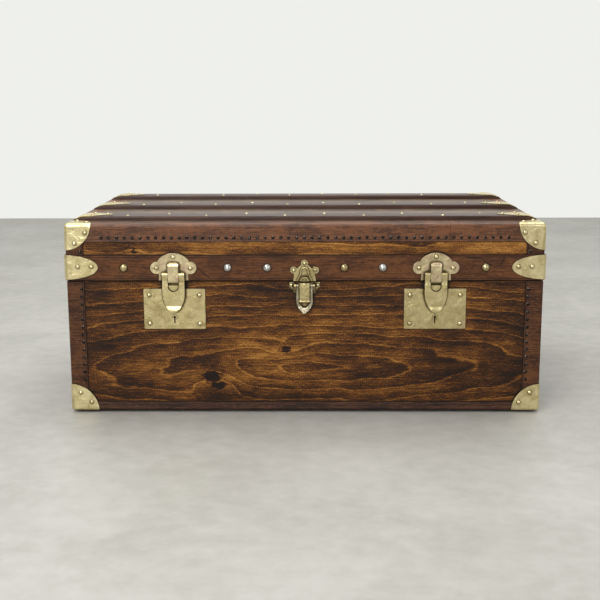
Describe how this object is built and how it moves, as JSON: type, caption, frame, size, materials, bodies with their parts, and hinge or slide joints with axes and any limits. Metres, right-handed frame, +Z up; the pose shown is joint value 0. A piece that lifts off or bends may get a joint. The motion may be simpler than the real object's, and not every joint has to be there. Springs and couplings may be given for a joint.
{
  "type": "steamer trunk",
  "caption": "Antique pine steamer trunk with leather bindings, brass corners, slatted lid, two hasp locks and a draw latch.",
  "frame": {"origin": "on the floor below the middle of the case, on the underside of the middle runner", "axes": "+X to the right-hand end as seen from the locks, +Y to the back with the hinges, +Z up"},
  "size_m": [0.843, 0.5199, 0.341],
  "materials": {
    "pine": "satin",
    "pale_wood": "matte",
    "slat_wood": "satin",
    "lining_cloth": "matte",
    "binding_leather": "satin",
    "handle_leather": "satin",
    "brass": "satin",
    "steel": "satin",
    "iron_tack": "satin"
  },
  "bodies": {
    "case": {"body_front_panel": "pine", "body_back_panel": "pine", "body_left_panel": "pine", "body_right_panel": "pine", "body_bottom_panel": "pine", "body_rim_lip": "pale_wood", "body_lining": "lining_cloth", "body_corner_bindings": "binding_leather", "body_bottom_bindings": "binding_leather", "body_corner_caps": "brass", "bottom_runners": "pale_wood", "lock_plate_left": "brass", "lock_plate_right": "brass", "lock_case_left": "steel", "lock_case_right": "steel", "latch_base": "brass", "latch_rivets": "steel", "hinge_lower_leaves": "brass", "hinge_pins": "steel", "handle_brackets": "brass", "handle_pins": "steel", "body_binding_nails": "iron_tack", "body_hardware_nails": "brass"},
    "lid": {"lid_top_panel": "pine", "lid_front_rim": "pine", "lid_back_rim": "pine", "lid_left_rim": "pine", "lid_right_rim": "pine", "lid_lining": "lining_cloth", "lid_edge_bindings": "binding_leather", "lid_corner_bindings": "binding_leather", "lid_bands": "binding_leather", "lid_corner_caps": "brass", "band_corner_clamps": "brass", "slat_front": "slat_wood", "slat_middle": "slat_wood", "slat_rear": "slat_wood", "slat_end_clips": "brass", "hasp_plate_left": "brass", "hasp_plate_right": "brass", "hasp_pins": "steel", "latch_catch": "brass", "hinge_upper_leaves": "brass", "band_studs": "brass", "lid_binding_nails": "iron_tack", "lid_hardware_nails": "brass", "slat_nails": "brass"},
    "hasp_left": {"hasp_left": "brass", "hasp_staple_left": "brass"},
    "hasp_right": {"hasp_right": "brass", "hasp_staple_right": "brass"},
    "bolt_left": {"lock_bolt_left": "brass"},
    "bolt_right": {"lock_bolt_right": "brass"},
    "lever": {"latch_lever": "brass", "latch_link_pin": "steel"},
    "link": {"latch_link": "brass"},
    "handle_left": {"handle_bail_left": "brass", "handle_grip_left": "handle_leather"},
    "handle_right": {"handle_bail_right": "brass", "handle_grip_right": "handle_leather"}
  },
  "joints": [
    {"name": "lid_hinge", "type": "hinge", "parent": "case", "child": "lid", "pos_m": [0, 0.2535, 0.232], "axis": [-1, 0, 0], "range_deg": [0, 100]},
    {"name": "hasp_left_hinge", "type": "hinge", "parent": "lid", "child": "hasp_left", "pos_m": [-0.222, -0.2549, 0.2444], "axis": [-1, 0, 0], "range_deg": [0, 120]},
    {"name": "hasp_right_hinge", "type": "hinge", "parent": "lid", "child": "hasp_right", "pos_m": [0.222, -0.2549, 0.2444], "axis": [-1, 0, 0], "range_deg": [0, 120]},
    {"name": "bolt_left_slide", "type": "slide", "parent": "case", "child": "bolt_left", "axis": [-1, 0, 0], "range_m": [0, 0.008]},
    {"name": "bolt_right_slide", "type": "slide", "parent": "case", "child": "bolt_right", "axis": [-1, 0, 0], "range_m": [0, 0.008]},
    {"name": "lever_hinge", "type": "hinge", "parent": "case", "child": "lever", "pos_m": [0, -0.2518, 0.225], "axis": [-1, 0, 0], "range_deg": [0, 110]},
    {"name": "link_hinge", "type": "hinge", "parent": "lever", "child": "link", "pos_m": [0, -0.2518, 0.198], "axis": [1, 0, 0], "range_deg": [0, 100]},
    {"name": "handle_left_hinge", "type": "hinge", "parent": "case", "child": "handle_left", "pos_m": [-0.413, 0, 0.188], "axis": [0, 1, 0], "range_deg": [0, 100]},
    {"name": "handle_right_hinge", "type": "hinge", "parent": "case", "child": "handle_right", "pos_m": [0.413, 0, 0.188], "axis": [0, -1, 0], "range_deg": [0, 100]}
  ]
}
